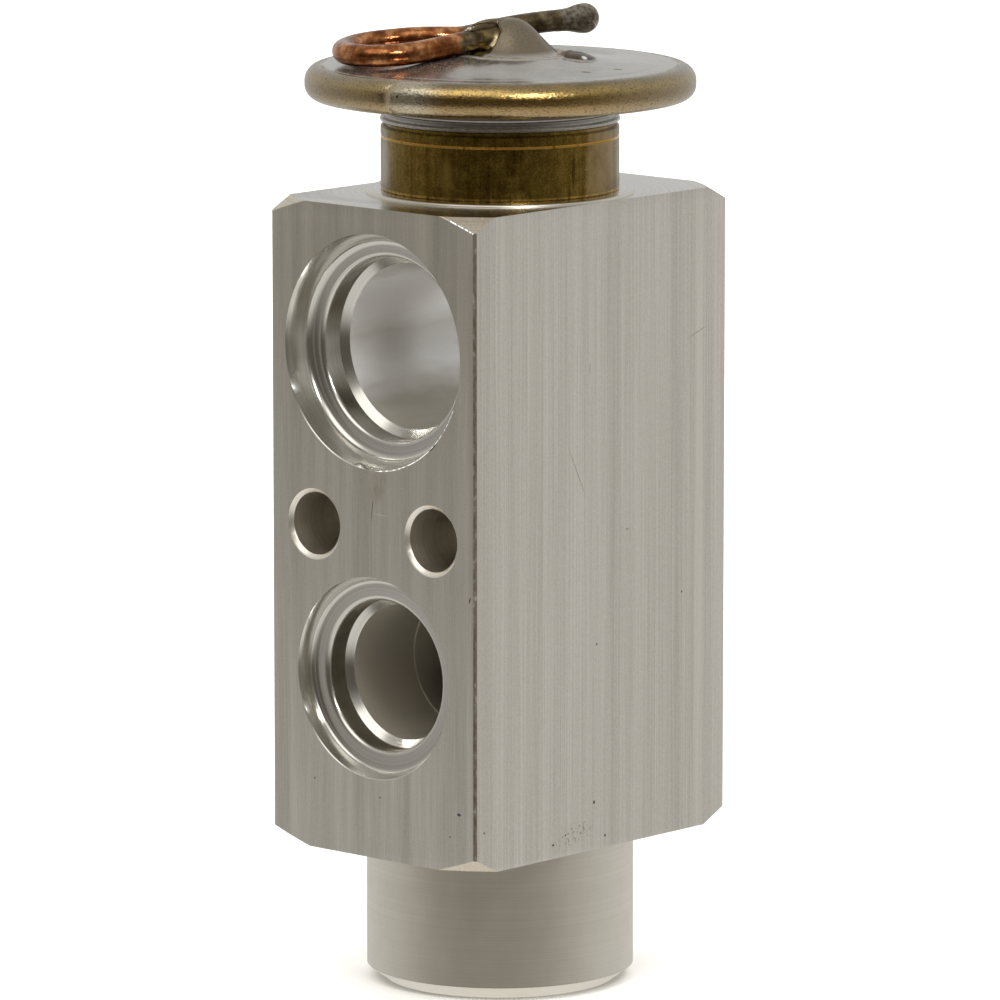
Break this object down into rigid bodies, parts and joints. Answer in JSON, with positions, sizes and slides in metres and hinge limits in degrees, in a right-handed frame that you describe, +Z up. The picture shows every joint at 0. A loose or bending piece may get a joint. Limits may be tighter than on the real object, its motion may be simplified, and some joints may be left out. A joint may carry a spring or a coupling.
{
  "type": "expansion valve",
  "caption": "Block-type thermal expansion valve: drilled aluminium block with suction and liquid ports, turned boss, brass collar and a welded diaphragm head with a looped charge tube",
  "frame": {"origin": "centre of the bottom boss's flat underside, on the valve's upright axis", "axes": "+Z up along the valve's axis, -Y out of the front ports (suction above, liquid inlet below), +Y out of the rear ports, X across the two bolt holes"},
  "size_m": [0.0422, 0.0422, 0.1048],
  "materials": {
    "block": "extruded and milled bar, brushed port faces, die lines on the sides, turned boss",
    "collar": "turned brass, tarnished brown",
    "seal": "black moulded rubber",
    "neck_ring": "bright turned steel",
    "lower_shell": "pressed stainless steel",
    "diaphragm": "thin rolled stainless steel",
    "upper_shell": "pressed stainless steel, near mirror, dome satin",
    "rim_weld": "smooth weld bead with an olive to gold heat tint",
    "charge_tube": "drawn copper tube, tarnished dark orange, tinned towards its sealed end",
    "braze": "smooth golden braze",
    "solder": "smooth pewter-coloured solder",
    "pad": "turned brass",
    "rod": "turned aluminium rod",
    "pin": "ground steel pin",
    "retainer": "turned brass",
    "ball": "polished steel ball",
    "carrier": "turned steel",
    "spring": "drawn steel wire",
    "screw": "turned aluminium with a fine thread"
  },
  "bodies": {
    "housing": {"valve_block": "block", "neck_collar": "collar", "head_seal": "seal", "neck_ring": "neck_ring", "lower_shell": "lower_shell", "diaphragm": "diaphragm", "upper_shell": "upper_shell", "rim_weld": "rim_weld", "charge_tube": "charge_tube", "socket_braze": "braze", "tip_solder": "solder", "pin_seal": "seal", "seal_retainer": "retainer", "valve_spring": "spring"},
    "stem": {"diaphragm_pad": "pad", "sensing_rod": "rod", "push_pin": "pin", "valve_ball": "ball", "ball_carrier": "carrier"},
    "screw_travel": {"screw_seal": "seal"},
    "screw": {"adjusting_screw": "screw"}
  },
  "joints": [
    {"name": "valve_stroke", "type": "slide", "parent": "housing", "child": "stem", "axis": [0, 0, -1], "range_m": [-0.0002, 0.0006], "stiffness_N_per_m": 6000, "deforming": ["valve_spring", "diaphragm"]},
    {"name": "screw_advance", "type": "slide", "parent": "housing", "child": "screw_travel", "axis": [0, 0, 1], "range_m": [-0.0005, 0.0005]},
    {"name": "screw_turn", "type": "hinge", "parent": "screw_travel", "child": "screw", "pos_m": [0, 0, 0.0022], "axis": [0, 0, 1], "range_deg": [-180, 180]}
  ],
  "couplings": [
    {"joint": "screw_turn", "follows": "screw_advance", "rad_per_m": 6283.2}
  ]
}
